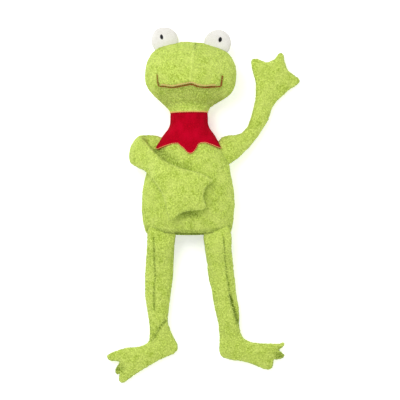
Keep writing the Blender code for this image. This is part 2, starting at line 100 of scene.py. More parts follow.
def tufts(p, size, seed):
    """1 at the middle of a tuft of pile and 0 between tufts, for tufts of that spacing."""
    q = p / size
    base = np.floor(q).astype(np.int64)
    nearest = np.full(len(p), 9.0)
    for dx in (-1, 0, 1):
        for dy in (-1, 0, 1):
            for dz in (-1, 0, 1):
                i, j, k = base[:, 0] + dx, base[:, 1] + dy, base[:, 2] + dz
                d = (i + hashed(i, j, k, seed) - q[:, 0]) ** 2
                d += (j + hashed(i, j, k, seed + 1) - q[:, 1]) ** 2
                d += (k + hashed(i, j, k, seed + 2) - q[:, 2]) ** 2
                nearest = np.minimum(nearest, d)
    return 1 - np.clip(np.sqrt(nearest), 0, 1)


def distance_to(line, x, y):
    """How far each place in plan is from a line, and how far along the line, from 0 to 1."""
    best, along = np.full(len(x), 1e9), np.zeros(len(x))
    total = np.linalg.norm(np.diff(line, axis=0), axis=1)
    start = np.concatenate([[0], np.cumsum(total)])
    for i in range(len(line) - 1):
        d = line[i + 1] - line[i]
        t = np.clip(((x - line[i, 0]) * d[0] + (y - line[i, 1]) * d[1]) / (d @ d), 0, 1)
        r = np.hypot(x - line[i, 0] - t * d[0], y - line[i, 1] - t * d[1])
        nearer = r < best
        best = np.where(nearer, r, best)
        along = np.where(nearer, (start[i] + t * total[i]) / start[-1], along)
    return best, along


def normals_of(points, faces):
    """Each point's normal, from faces of three or four corners."""
    a, b, c = points[faces[:, 0]], points[faces[:, 1]], points[faces[:, 2]]
    if faces.shape[1] == 4:
        n = np.cross(c - a, points[faces[:, 3]] - b)
    else:
        n = np.cross(b - a, c - a)
    total = np.zeros_like(points)
    for i in range(faces.shape[1]):
        for axis in range(3):
            total[:, axis] += np.bincount(faces[:, i], n[:, axis], len(points))
    return total / np.maximum(np.linalg.norm(total, axis=1), 1e-9)[:, None]


def terry(points, faces, seed, coarse=0.9, fine=0.55, lumps=0.5):
    """Towelling: the points pushed out by clumps and tufts of pile, and how high each one stands."""
    n = normals_of(points, faces)
    clump = tufts(points, CLUMP, seed) - 0.45
    loop = tufts(points, TUFT, seed + 7) - 0.45
    slow = value_noise(points, 15, seed + 11) + 0.5 * value_noise(points, 7, seed + 12)
    moved = points + n * (coarse * clump + fine * loop + lumps * slow)[:, None]
    return moved, np.clip(0.5 + 0.45 * clump + 0.85 * loop, 0, 1)


# ---------------------------------------------------------------- objects

def new_object(name, points, faces, material, nap=None, shade=None, normals=None):
    """A smooth mesh object from points in millimetres, with how high its pile stands and its darkness: painted
    shade and dark seam lines.
    """
    mesh = bpy.data.meshes.new(name)
    mesh.from_pydata((np.asarray(points) * MM).tolist(), [], [list(map(int, f)) for f in faces])
    mesh.update()
    mesh.polygons.foreach_set("use_smooth", [True] * len(mesh.polygons))
    for key, values in (("nap", nap), ("shade", shade)):
        if values is not None:
            mesh.attributes.new(key, "FLOAT", "POINT").data.foreach_set(
                "value", np.asarray(values, np.float32))
    if normals is not None:
        mesh.normals_split_custom_set_from_vertices(np.asarray(normals).tolist())
    o = bpy.data.objects.new(name, mesh)
    bpy.context.scene.collection.objects.link(o)
    mesh.materials.append(material)
    return o


def grid_faces(rows, columns):
    """Quads of a grid of points, rows one after another; each row closes on itself."""
    j, i = np.meshgrid(np.arange(rows - 1), np.arange(columns), indexing="ij")
    k = (i + 1) % columns
    a, b = j * columns + i, j * columns + k
    return np.stack([a, b, b + columns, a + columns], -1).reshape(-1, 4)


def thickness(o, amount, offset=-1.0):
    m = o.modifiers.new("cloth", "SOLIDIFY")
    m.thickness, m.offset = amount * MM, offset


def stitches(line, length, gap):
    """Thread stitches along a line: the middle points of each, with gaps that are a share of its length."""
    step = np.concatenate([[0], np.cumsum(np.linalg.norm(np.diff(line, axis=0), axis=1))])
    count = max(1, int(step[-1] / length))
    out = []
    for i in range(count):
        a, b = (i + gap / 2) * step[-1] / count, (i + 1 - gap / 2) * step[-1] / count
        s = np.linspace(a, b, 5)
        out.append(np.stack([np.interp(s, step, line[:, k]) for k in range(3)], -1))
    return out


def stitch_object(name, groups, material, sink=0.35):
    """A mesh of short round threads, each dipping into the cloth at its ends."""
    points, faces = [], []
    sides = 6
    for runs, radius in groups:
        for run in runs:
            along = run[-1] - run[0]
            along = along / max(np.linalg.norm(along), 1e-9)
            up = np.array([0, 0, 1.0]) - along * along[2]
            up /= max(np.linalg.norm(up), 1e-9)
            over = np.cross(along, up)
            first = len(points)
            for i, q in enumerate(run):
                t = i / (len(run) - 1)
                r = radius * (0.45 + 0.55 * math.sin(math.pi * t) ** 0.5)
                q = q - up * sink * (1 - math.sin(math.pi * t))
                for k in range(sides):
                    w = 2 * math.pi * k / sides
                    points.append(q + r * (math.cos(w) * up + math.sin(w) * over))
            for i in range(len(run) - 1):
                for k in range(sides):
                    a, b = first + i * sides + k, first + i * sides + (k + 1) % sides
                    faces.append((a, a + sides, b + sides, b))
            faces.append(tuple(first + k for k in range(sides)))
            faces.append(tuple(first + (len(run) - 1) * sides + k for k in reversed(range(sides))))
    return new_object(name, np.array(points), faces, material)


# ---------------------------------------------------------------- materials

def nodes_of(name, color, roughness, sheen=0.0):
    m = bpy.data.materials.new(name)
    m.use_nodes = True
    tree = m.node_tree
    shader = tree.nodes["Principled BSDF"]
    shader.inputs["Base Color"].default_value = (*color, 1)
    shader.inputs["Roughness"].default_value = roughness
    shader.inputs["Specular IOR Level"].default_value = 0.2
    if sheen:
        shader.inputs["Sheen Weight"].default_value = sheen
        shader.inputs["Sheen Roughness"].default_value = 0.6
    return m, tree, shader


def add(tree, kind, inputs=None, **settings):
    node = tree.nodes.new(kind)
    for key, value in settings.items():
        setattr(node, key, value)
    for key, value in (inputs or {}).items():
        if isinstance(value, bpy.types.NodeSocket):
            tree.links.new(value, node.inputs[key])
        else:
            node.inputs[key].default_value = value
    return node


def mixed(tree, factor, a, b):
    node = add(tree, "ShaderNodeMix", data_type="RGBA")
    for socket, value in ((node.inputs[0], factor), (node.inputs[6], a), (node.inputs[7], b)):
        if isinstance(value, bpy.types.NodeSocket):
            tree.links.new(value, socket)
        elif isinstance(value, tuple):
            socket.default_value = (*value, 1)
        else:
            socket.default_value = value
    return node.outputs[2]


def remap(tree, value, low, high, to_low, to_high):
    return add(tree, "ShaderNodeMapRange", {"Value": value, "From Min": low, "From Max": high,
                                            "To Min": to_low, "To Max": to_high}).outputs[0]


def noise(tree, where, per_metre, detail=2.0, rough=0.5):
    return add(tree, "ShaderNodeTexNoise", {"Vector": where, "Scale": per_metre, "Detail": detail,
                                            "Roughness": rough}).outputs[0]


def terry_material(name, tip, shaded_root, painted_shade_color):
    """Loop pile: light tips, painted shade in the pile's pits (the shaded root colour where the pile stands
    low), soft blotches, painted shade from the shade attribute, and a fine bump of yarn.
    """
    m, tree, shader = nodes_of(name, tip, 0.95, 0.08)
    where = add(tree, "ShaderNodeTexCoord").outputs["Object"]
    nap = add(tree, "ShaderNodeAttribute", attribute_name="nap").outputs["Fac"]
    shade = add(tree, "ShaderNodeAttribute", attribute_name="shade").outputs["Fac"]
    speck = noise(tree, where, 600, 2, 0.6)
    blotch = noise(tree, where, 90, 2)
    # painted shade: where the pile stands low, its pits take the shaded root colour
    pile = mixed(tree, remap(tree, nap, 0.15, 0.70, 0, 1), shaded_root, tip)
    pile = mixed(tree, remap(tree, speck, 0.36, 0.62, 0, 1), mixed(tree, 0.72, pile, shaded_root), pile)
    pile = mixed(tree, remap(tree, blotch, 0.35, 0.7, 0, 0.35), pile,
                 tuple(min(1.0, c * k) for c, k in zip(tip, (1.1, 1.05, 1.35))))
    # painted shade: the shade attribute, mottled by the specks, mixes in the painted shade colour
    painted_shade_amount = add(tree, "ShaderNodeMath", {0: shade, 1: remap(tree, speck, 0.3, 0.7, 2.2, 0.0)},
                 operation="MULTIPLY", use_clamp=True).outputs[0]
    pile = mixed(tree, painted_shade_amount, pile, painted_shade_color)
    tree.links.new(pile, shader.inputs["Base Color"])
    fine = add(tree, "ShaderNodeTexVoronoi", {"Vector": where, "Scale": 1100.0}).outputs["Distance"]
    height = add(tree, "ShaderNodeMath", {0: fine, 1: speck}, operation="SUBTRACT").outputs[0]
    tree.links.new(add(tree, "ShaderNodeBump", {"Strength": 0.8, "Distance": 0.0013,
                                                "Height": height}).outputs[0], shader.inputs["Normal"])
    return m


def fleece_material(name, color, dark, light, per_metre=700.0, bump_size=0.0003, sheen=0.2):
    """Short brushed cloth: a fine fuzz with slightly darker and lighter patches, and painted shade from the
    shade attribute.
    """
    m, tree, shader = nodes_of(name, color, 0.9, sheen)
    where = add(tree, "ShaderNodeTexCoord").outputs["Object"]
    fuzz = noise(tree, where, per_metre, 4, 0.65)
    patch = noise(tree, where, 70, 2)
    c = mixed(tree, remap(tree, fuzz, 0.35, 0.65, 0, 1), dark, color)
    c = mixed(tree, remap(tree, patch, 0.45, 0.7, 0, 0.6), c, light)
    # painted shade: the shade attribute mixes in a deep shade of the dark colour
    c = mixed(tree, add(tree, "ShaderNodeAttribute", attribute_name="shade").outputs["Fac"], c,
              tuple(0.35 * v for v in dark))
    tree.links.new(c, shader.inputs["Base Color"])
    tree.links.new(add(tree, "ShaderNodeBump", {"Strength": 0.6, "Distance": bump_size,
                                                "Height": fuzz}).outputs[0], shader.inputs["Normal"])
    return m


def woven_material(name, color, dark):
    """Plain weave: crossing threads every 0.7 mm."""
    m, tree, shader = nodes_of(name, color, 0.9)
    where = add(tree, "ShaderNodeTexCoord").outputs["Object"]
    waves = []
    for direction in ("X", "Y"):
        waves.append(add(tree, "ShaderNodeTexWave", {"Vector": where, "Scale": 230.0, "Distortion": 0.6,
                                                     "Detail": 1.0}, bands_direction=direction).outputs["Fac"])
    weave = add(tree, "ShaderNodeMath", {0: waves[0], 1: waves[1]}, operation="MULTIPLY").outputs[0]
    patch = noise(tree, where, 120, 3)
    c = mixed(tree, remap(tree, weave, 0, 0.7, 0, 1), dark, color)
    c = mixed(tree, remap(tree, patch, 0.4, 0.7, 0, 0.4), c, dark)
    tree.links.new(c, shader.inputs["Base Color"])
    tree.links.new(add(tree, "ShaderNodeBump", {"Strength": 0.5, "Distance": 0.0003,
                                                "Height": weave}).outputs[0], shader.inputs["Normal"])
    return m


def thread_material(name, color, light):
    """Twisted sewing thread."""
    m, tree, shader = nodes_of(name, color, 0.6)
    where = add(tree, "ShaderNodeTexCoord").outputs["Object"]
    twist = add(tree, "ShaderNodeTexWave", {"Vector": where, "Scale": 700.0, "Distortion": 2.0},
                bands_direction="DIAGONAL").outputs["Fac"]
    tree.links.new(mixed(tree, remap(tree, twist, 0.2, 0.9, 0, 0.7), color, light),
                   shader.inputs["Base Color"])
    tree.links.new(add(tree, "ShaderNodeBump", {"Strength": 0.5, "Distance": 0.0002,
                                                "Height": twist}).outputs[0], shader.inputs["Normal"])
    return m


# green terry: tips, roots darkened with painted shade, and the colour of painted shade
GREEN = terry_material("green_terry", (0.80, 0.985, 0.19), (0.33, 0.47, 0.022), (0.13, 0.21, 0.004))
RED = fleece_material("red_fleece", (0.53, 0.0005, 0.016), (0.32, 0.0002, 0.008), (0.59, 0.001, 0.024),
                      sheen=0.0)
RED.node_tree.nodes["Principled BSDF"].inputs["Specular IOR Level"].default_value = 0.04
WHITE = fleece_material("white_cloth", (0.83, 0.81, 0.765), (0.68, 0.66, 0.60), (0.86, 0.85, 0.81), 900.0)
LINING = woven_material("lining_weave", (0.62, 0.70, 0.33), (0.42, 0.50, 0.18))
BLACK = thread_material("black_thread", (0.006, 0.006, 0.007), (0.03, 0.03, 0.035))
BROWN = thread_material("brown_thread", (0.23, 0.06, 0.007), (0.50, 0.18, 0.03))
ORANGE = thread_material("orange_thread", (0.82, 0.40, 0.12), (0.92, 0.64, 0.26))
PEACH = thread_material("peach_thread", (0.78, 0.50, 0.17), (0.90, 0.72, 0.34))


# ---------------------------------------------------------------- body and head forms

# y, middle x, half width, back z, side z, front z
BODY = np.array((
    (-60, -2, 51.5, 0.3, 19, 40), (-57, -2, 53, 0, 20, 43), (-50, -2, 54.5, 0, 22, 47),
    (-38, -2.2, 57, 0, 24, 54), (-20, -2.4, 58.5, 0, 25, 58), (0, -2.5, 57.5, 0, 26, 59),
    (20, -2, 53.5, 0, 26, 57), (40, -1.5, 48, 0, 25, 53), (55, -1.6, 40.2, 3.2, 25, 49),
    (66, -1.4, 32.4, 4, 25, 46.5), (76, -1.2, 25.6, 4.3, 24, 45), (84, MID_X, 23, 4.5, 24, 43.5),
    (98, MID_X, 22.5, 4.5, 24, 44), (104, MID_X, 23, 4.5, 24, 44)))
HEAD = np.array((
    (96, MID_X, 23, 4, 24, 46), (98, MID_X, 23.5, 4, 24, 46.5), (104, MID_X, 27.5, 3, 25, 50),
    (110, MID_X, 36, 1.5, 28, 55), (117, MID_X, 45.8, 0, 31, 61), (124, MID_X, 52.5, 0, 33, 67),
    (131, MID_X, 55.8, 0, 34, 74), (136, MID_X, 56.5, 0, 34, 77), (142, MID_X, 57, 0, 34, 78),
    (150, MID_X, 56.5, 0, 34, 75.5), (158, MID_X, 55, 0, 34, 71), (166, MID_X, 51, 0, 33, 65),
    (173, MID_X, 46, 2, 32, 58), (177, MID_X, 39.5, 6, 31, 51), (180.3, MID_X, 31, 12, 30, 44),
    (182.6, MID_X, 22, 18, 29, 38), (184, MID_X, 12, 24, 29, 34)))


def section(form, y, soften=2.5):
    """The form's numbers at each y, rounded off where its stations meet."""
    fine = np.arange(form[0, 0] - 12, form[-1, 0] + 12, 0.25)
    taps = np.arange(-24, 25) * 0.25
    weights = bump(taps, soften)
    out = []
    for i in range(1, 6):
        v = np.interp(fine, form[:, 0], form[:, i])
        v = np.convolve(np.pad(v, 24, "edge"), weights / weights.sum(), "valid")
        out.append(np.interp(y, fine, v))
    return out


def on_form(form, angle, y, out=0.0, soften=2.5):
    """Points on a form, at an angle in radians from the +X side seam, moved outwards by out."""
    mid, half, back, side, front = section(form, y, soften)
    c, s = np.cos(angle), np.sin(angle)
    upper = side + (front - side + out) * s
    lower = np.maximum(back - out, side + (side - back + out) * 1.35 * s)
    return np.stack([mid + (half + out) * c, y, np.where(s >= 0, upper, lower)], -1)


def front_height(x, y):
    """How high the body's front stands above a place in plan; it falls away outside the body."""
    mid, half, _back, side, front = section(BODY, y)
    across = np.clip(np.abs(x - mid) / half, 0, 1)
    return side + (front - side) * np.sqrt(1 - across ** 2)


def angles(count):
    return np.arange(count) * 2 * math.pi / count


def curve_at(points, value):
    points = np.array(points, float)
    return np.interp(value, points[:, 0], points[:, 1])


# The lower edge of the red yoke: the angle in degrees, and y.
YOKE_EDGE = ((0, 53.5), (20, 51.5), (32, 52.9), (45, 55.8), (58, 58.3), (68, 57.8), (73, 56), (78, 50.5),
             (83, 46), (87, 44.3), (92, 45.8), (98, 51), (104, 54.2), (110, 57.4), (121, 57), (134, 54.4),
             (154, 50.2), (180, 53.5), (205, 55), (235, 60), (270, 54), (305, 60), (335, 55), (360, 53.5))

# Where the arms press the body, seen from above: a line, how wide, and how strongly at each end; the dents also
# get painted shade.
PRESSED = (
    (((-50, 62), (-33, 44), (-16, 32), (2, 22)), 8.0, (1.1, 0.35)),
    (((-6, -28), (8, -31)), 7.0, (0.9, 0.7)),
    (((41, 58), (49, 38)), 4.5, (0.8, 0.5)),
)


def build_body():
    """The green body: a tube of towelling, open at the hem, with a front seam and side seams."""
    columns, rows = 360, 150
    a = angles(columns)
    top = curve_at(YOKE_EDGE, np.degrees(a)) + 5
    t = np.linspace(0, 1, rows)[:, None]
    aa = np.broadcast_to(a, (rows, columns)).ravel()
    hem = -55.8 + (2.8 + 6.5 * np.abs(np.cos(a)) ** 3) * smooth_step(np.sin(a) * 2.5) + 0.3 * np.sin(5 * a)
    y = (hem + (top - hem) * t).ravel()
    p = on_form(BODY, aa, y)
    x = p[:, 0]
    front = np.sin(aa) > 0
    seam = bump(x - (0.6 + 0.8 * np.sin(y / 14)), 1.3) * front
    sides = bump(np.sin(aa) * 50, 2.2)
    under = 1 - smooth_step((y - np.tile(hem, rows)) / 6)
    n_out = np.stack([np.cos(aa), np.zeros_like(aa), np.where(front, np.sin(aa), 0.6 * np.sin(aa))], -1)
    # soft folds where the arms pull on the cloth, and where the belly turns in above the legs
    fold = np.zeros_like(x)
    for side, at_y in ((1, 36), (-1, 34)):
        r = np.hypot((x - side * 50) / 1.2, y - at_y)
        way = np.arctan2(y - at_y, (x - side * 50) * side)
        fold += np.cos(way * 7) * bump(r - 14, 12) * 0.9
    gather = 0.9 * np.cos(aa * 26 + 1.5 * np.sin(aa * 3)) * bump(y + 55, 9)
    p = p + n_out * (-0.45 * seam - 0.7 * sides - 2.2 * under ** 2 + fold + gather * 0.6)[:, None]
    # the arms lie in hollows that they have pressed into the body
    hollow = np.zeros_like(x)
    for line, width, strength in PRESSED:
        r, along = distance_to(np.array(line), p[:, 0], p[:, 1])
        hollow += bump(r, width * (1 - 0.4 * along)) * np.interp(along, (0, 1), strength) * front
    p[:, 2] -= 2.2 * hollow
    faces = grid_faces(rows, columns)
    p, nap = terry(p, faces, 3)
    p[:, 2] = np.maximum(p[:, 2], FLOOR_GAP)
    # painted shade along the side seams, where the belly turns under at the hem, and in the hollows the arms
    # press; the front seam is a faint dark seam line
    dark = np.clip(0.12 * seam + 0.4 * sides + 0.3 * under + 0.45 * hollow, 0, 0.8)
    # the hem turns in to the lining
    lip = on_form(BODY, a, hem + 1.5, -3.6)
    lip[:, 2] = np.maximum(lip[:, 2], 2.6)
    mid = (p[:columns] + lip) / 2
    mid[:, 1] = np.minimum(mid[:, 1], hem - 1.0)
    inner = on_form(BODY, a, hem + 8, -4.0)
    inner[:, 2] = np.maximum(inner[:, 2], 3.0)
    p = np.concatenate([inner, lip, mid, p])
    nap = np.concatenate([np.full(columns * 3, 0.5), nap])
    # painted shade inside the turned-in hem
    dark = np.concatenate([np.full(columns * 3, 0.35), dark])
    o = new_object("body_towelling", p, grid_faces(rows + 3, columns), GREEN, nap, dark)
    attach(o, "torso")
    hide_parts("body_front_left", "body_front_right", "body_back", "hem_band")


def build_yoke():
    """The red yoke and neck: fleece with a pointed lower edge, over the shoulders into the head."""
    columns, rows = 300, 60
    a = angles(columns)
    edge = curve_at(YOKE_EDGE, np.degrees(a))
    t = np.linspace(0, 1, rows)[:, None]
    aa = np.broadcast_to(a, (rows, columns)).ravel()
    y = (edge + (99 - edge) * t).ravel()
    rise = smooth_step((y - np.tile(edge, rows)) / 1.6)
    narrow = 1.7 * bump(y - 56, 9) * np.cos(aa) ** 4 * (np.sin(aa) > -0.2)
    p = on_form(BODY, aa, y, (0.6 + 0.8 * rise) * (1 - smooth_step((y - 66) / 16)) - 0.5 - narrow)
    crease = 0.5 * value_noise(p * np.array([1, 0.5, 1]), 9, 31)
    pull = 0.55 * np.cos(aa * 13 + 0.6) * bump(y - 91, 9)
    faces = grid_faces(rows, columns)
    n = normals_of(p, faces)
    p = p + n * (crease + pull + 0.16 * (tufts(p, 1.6, 33) - 0.4))[:, None]
    p[:, 2] = np.maximum(p[:, 2], FLOOR_GAP)
    # painted shade on the yoke's sides
    side = bump(np.sin(aa) * 30, 9)
    o = new_object("shoulder_yoke", p, faces, RED, shade=np.clip(0.35 * side, 0, 1))
    thickness(o, 0.9)
    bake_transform(o)
    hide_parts("yoke_front", "yoke_back", "neck_sleeve")
    # the stitch rows: along the pointed edge, and round the top under the head
    across = np.degrees(a[(a > 0.05) & (a < math.pi - 0.05)])
    line = on_form(BODY, np.radians(across), curve_at(YOKE_EDGE, across) + 0.7, 1.35)
    o = stitch_object("yoke_stitching", [(stitches(line, 2.6, 0.1), 0.5)], ORANGE)
    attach(o, "torso")
    ring = np.linspace(0, 2 * math.pi, 200)
    proud = 0.7 + 1.7 * np.abs(np.sin(ring))
    line = on_form(BODY, ring, 97.3 + 0.45 * np.cos(ring), proud)
    o = stitch_object("neck_stitching", [(stitches(line, 3.0, 0.04), 1.0)], ORANGE)
    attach(o, "neck")


def build_lining():
    """The sleeve of woven lining inside the body and neck, and the finger pocket in the head."""
    columns, rows = 120, 70
    a = angles(columns)
    t = np.linspace(0, 1, rows)[:, None]
    aa = np.broadcast_to(a, (rows, columns)).ravel()
    y = (-51 + (95.8 + 51) * t + 0 * a).ravel()
    depth = 4.6 + 0.7 * value_noise(np.stack([aa * 20, y, aa * 0], -1), 16, 41)
    p = on_form(BODY, aa, y, -depth)
    p[:, 2] = np.maximum(p[:, 2], 3.4)
    o = new_object("body_lining_sleeve", p, grid_faces(rows, columns), LINING)
    thickness(o, 0.5, 0.0)
    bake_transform(o)
    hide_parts("body_lining", "neck_lining")
    # the pocket: a thimble of the same cloth
    profile = [(13.5, 96.5)] + [(10.4, v) for v in np.linspace(99, 141, 22)]
    profile += [(10.4 * math.cos(w), 141 + 10.4 * math.sin(w)) for w in np.linspace(0.12, 1.5, 12)]
    columns = 40
    p = np.array([(MID_X + r * math.cos(w), y, 24.5 + (1 + 0.05 * math.sin(w * 3)) * r * math.sin(w))
                  for r, y in profile for w in angles(columns)])
    o = new_object("finger_pocket_cloth", p, grid_faces(len(profile), columns), LINING)
    thickness(o, 0.5, 0.0)
    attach(o, "head")
    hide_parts("finger_pocket")


# Seen from above: the mouth's line, x and y, from one raised corner to the other.
MOUTH = np.array(((-41.5, 145.6), (-40.8, 138), (-39.9, 131.4), (-37.2, 130.3), (-30, 129.6), (-22, 128.4),
                  (-13.8, 129.7), (-5, 131.2), (0.6, 132.3), (3.6, 131.9), (9.3, 129.6), (18.4, 128.6),
                  (27.5, 129.4), (36.5, 129.9), (38.9, 130.6), (39.8, 136.5), (40.8, 143.8)))
MOUTH = as_seen(MOUTH, np.full(len(MOUTH), 72.0))
EYES = (("left_eye", 34.6, 183.6, (3.0, 3.6), -12), ("right_eye", -31.6, 186.6, (-3.6, 3.9), 14))
TURN = math.radians(-2.7)
RIM_TURN = math.radians(1.2)


def turned(p):
    """The head's own places, tilted a little about the neck."""
    angle = RIM_TURN + (TURN - RIM_TURN) * smooth_step((p[:, 1] - HEAD_Y) / 24)
    c, s = np.cos(angle), np.sin(angle)
    x, y = p[:, 0] - MID_X, p[:, 1] - NECK_Y
    return np.stack([MID_X + c * x - s * y, NECK_Y + s * x + c * y, p[:, 2]], -1)


def unturned(p):
    """A place in plan before the head was tilted."""
    p = np.array(p, float)
    c, s = math.cos(-TURN), math.sin(-TURN)
    x, y = p[..., 0] - MID_X, p[..., 1] - NECK_Y
    return np.stack([MID_X + c * x - s * y, NECK_Y + s * x + c * y], -1)


def head_shape(a, y):
    """The head's skin with its mouth groove, chin and face seam; also its painted shade, with a painted
    highlight on the face seam's ridge as values below nought.
    """
    p = on_form(HEAD, a, y, 0.0, 2.0)
    line = unturned(MOUTH)
    r, _along = distance_to(line, p[:, 0], p[:, 1])
    front = (np.sin(a) > 0.05) * 1.0
    lip_y = curve_at(np.stack([line[3:14, 0], line[3:14, 1]], -1), p[:, 0])
    below = smooth_step((lip_y - p[:, 1]) / 3.0) * front
    inside = smooth_step((44 - np.abs(p[:, 0] - MID_X)) / 8)
    groove = bump(r, 1.6) * front
    middle = bump(p[:, 0] - MID_X, 16)
    lip = bump(p[:, 1] - lip_y - 4, 3.6) * front * inside
    chin = below * inside * smooth_step((p[:, 1] - 100) / 8)
    seam_x = curve_at(((96, 0.5), (141, -0.9), (150, -0.3), (160, 0.1), (168, 1.0), (176, 3.0), (190, 3.4)),
                      p[:, 1])
    above = smooth_step((p[:, 1] - lip_y - 2) / 3) * front
    ridge = bump(p[:, 0] - seam_x, 2.0) * above * smooth_step((175 - p[:, 1]) / 5)
    beside = (bump(p[:, 0] - seam_x - 2.2, 1.1) + bump(p[:, 0] - seam_x + 2.2, 1.1)) * above
    cut = bump(p[:, 0] - seam_x, 1.0) * above * smooth_step((p[:, 1] - 170) / 5)
    crown = -1.0 * bump(p[:, 0] - 3.0, 5) * smooth_step((p[:, 1] - 176) / 8)
    p[:, 2] += (-2.1 * groove + 1.3 * lip + 0.8 * middle * lip - 3.0 * chin
                + 1.5 * ridge - 0.5 * beside - 1.0 * cut)
    p[:, 1] += crown
    sides = bump(np.sin(a) * 55, 2.0)
    p[:, 0] -= 0.8 * sides * np.cos(a)
    # painted shade in the mouth groove, on the chin under the lip, along the side seams and beside the ridge;
    # the crown seam's cut is a dark seam line; the ridge gets a painted highlight
    dark = 0.16 * groove + 0.20 * chin + 0.5 * cut + 0.30 * sides + 0.12 * beside - 0.5 * ridge
    return p, np.clip(dark, -0.5, 0.9)


def build_head():
    columns, rows = 380, 132
    a = angles(columns)
    y = np.interp(np.linspace(0, 1, rows), (0, 0.1, 0.75, 1), (97.5, 106, 171, 184.2))[:, None] + 0 * a
    aa = np.broadcast_to(a, (rows, columns)).ravel()
    p, dark = head_shape(aa, y.ravel())
    # the rim turns in round the neck, and the crown closes
    rim = on_form(HEAD, a, np.full(columns, 99.5), -3.2)
    mid = on_form(HEAD, a, np.full(columns, 96.8), -1.2)
    # the crown's last row stays high at the front, and the closing rows go down to its middle
    last = p[-columns:].copy()
    centre = last.mean(0)
    lid = [centre + (last - centre) * k + np.array([0, 0.5 * (1 - k ** 2), 0])
           for k in (0.8, 0.6, 0.4, 0.2, 0.02)]
    p = np.concatenate([rim, mid, p, *lid])
    # painted shade on the rows where the rim turns in
    dark = np.concatenate([np.full(columns * 2, 0.1), dark, np.zeros(columns * 5)])
    faces = grid_faces(rows + 7, columns)
    p = turned(p)
    inner = p[:columns * 2].copy()
    p, nap = terry(p, faces, 17, lumps=0.55)
    p[:columns * 2] = inner
    p[:, 2] = np.maximum(p[:, 2], FLOOR_GAP)
    # the lower rim is the cut edge of the pile, lighter than the rest
    light = bump(p[:, 1] - 98.5, 2.0)
    # the face seam's ridge gets a painted highlight through the pile colour; the rest of dark is painted shade
    o = new_object("head_towelling", p, faces, GREEN,
                   np.clip(nap + 0.3 * light + 0.7 * np.maximum(-dark, 0), 0, 1), np.maximum(dark, 0))
    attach(o, "head")
    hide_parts("face_left", "face_right", "chin_panel", "head_back", "head_filling")
    build_mouth()
    for eye in EYES:
        build_eye(*eye)


def on_face(s, out):
    """Places in plan on the front of the head, a little above the cloth."""
    mid, half, _back, _side, _front = section(HEAD, s[:, 1], 2.0)
    p, _dark = head_shape(np.arccos(np.clip((s[:, 0] - mid) / half, -1, 1)), s[:, 1].copy())
    p[:, :2] = s
    p[:, 2] += out
    return turned(p)


def build_mouth():
    """The mouth is a brown sewn line of thread in the groove, thin at one end and thick in its middle."""
    line = unturned(MOUTH)
    step = np.concatenate([[0], np.cumsum(np.linalg.norm(np.diff(line, axis=0), axis=1))])
    s = np.linspace(0, step[-1], 260)
    s = np.stack([np.interp(s, step, line[:, 0]), np.interp(s, step, line[:, 1])], -1)
    kernel = bump(np.arange(-6, 7), 1.8)
    for k in (0, 1):
        s[:, k] = np.convolve(np.pad(s[:, k], 6, "edge"), kernel / kernel.sum(), "valid")
    runs = stitches(on_face(s, 1.5), 2.3, 0.12)
    groups = []
    for i, run in enumerate(runs):
        t = i / len(runs)
        radius = float(np.interp(t, (0, 0.1, 0.3, 0.45, 0.75, 1), (0.6, 0.85, 1.0, 1.35, 1.45, 1.0)))
        wander = (hashed(i, 3, 5, 7) - 0.5) * 0.4
        groups.append(([run + np.array([0, wander, 0])], radius))
    o = stitch_object("mouth_threads", groups, BROWN)
    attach(o, "head")
    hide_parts("mouth_stitching")
    # a light thread lies along the upper lip
    runs = stitches(on_face(s + np.array((0, 2.0)), 1.7), 2.3, 0.05)
    light = [run for i, run in enumerate(runs) if 0.16 < i / len(runs) < 0.80]
    o = stitch_object("mouth_edge_threads", [(light, 0.8)], PEACH)
    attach(o, "head")


def build_eye(name, x, y, pupil, slant):
    """A padded disc of white cloth with its seam round the rim, and an embroidered black pupil."""
    radius, half = 17.2, 7.2
    centre = np.array((x, y, 31.0))
    rings, columns = 26, 88
    a = angles(columns)
    p = []
    for sign in (1, -1):
        for i in range(rings):
            t = math.sin(i / (rings - 1) * math.pi / 2)
            if sign < 0 and i == rings - 1:
                continue
            r = radius * t * (1 + 0.012 * np.cos(a * 3 + x) + 0.006 * np.cos(a * 11))
            h = half * (1 - t ** 2) ** 0.55
            p.append(np.stack([r * np.cos(a), r * np.sin(a), np.full(columns, sign * h)], -1))
    front, back = p[:rings], p[rings:][::-1]
    p = np.concatenate(front + back)
    faces = grid_faces(2 * rings - 1, columns)[:, ::-1]
    p = p + centre
    n = normals_of(p, faces)
    rim = bump(p[:, 2] - centre[2], 1.6)
    p = p + n * (0.35 * value_noise(p, 8, 51) + 0.16 * (tufts(p, 1.3, 52) - 0.4) - 0.4 * rim)[:, None]
    # painted shade at the seam round the rim
    o = new_object(f"{name}_cloth", p, faces, WHITE, shade=np.clip(0.3 * rim, 0, 1))
    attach(o, "head")
    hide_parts(name, f"{name}_filling")
    # the pupil: satin stitch, rows of thread side by side over an oval
    px, py = pupil
    c, s = math.cos(math.radians(slant)), math.sin(math.radians(slant))
    runs = []
    for v in np.arange(-3.0, 3.01, 0.5):
        w = 2.3 * math.sqrt(max(0.0, 1 - (v / 3.15) ** 2))
        u = np.linspace(-w, w, 6)
        q = np.stack([px + c * u - s * v, py + s * u + c * v], -1)
        r = np.hypot(q[:, 0], q[:, 1]) / radius
        z = half * (1 - r ** 2) ** 0.55 + 0.3 + 0.35 * (1 - (u / (w + 0.01)) ** 2)
        runs.append(np.concatenate([q, z[:, None]], 1) + centre)
    o = stitch_object(f"{name}_pupil_threads", [(runs, 0.36)], BLACK, sink=0.5)
    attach(o, "head")
    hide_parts(name.split("_")[0] + "_pupil")


# ---------------------------------------------------------------- arms and legs

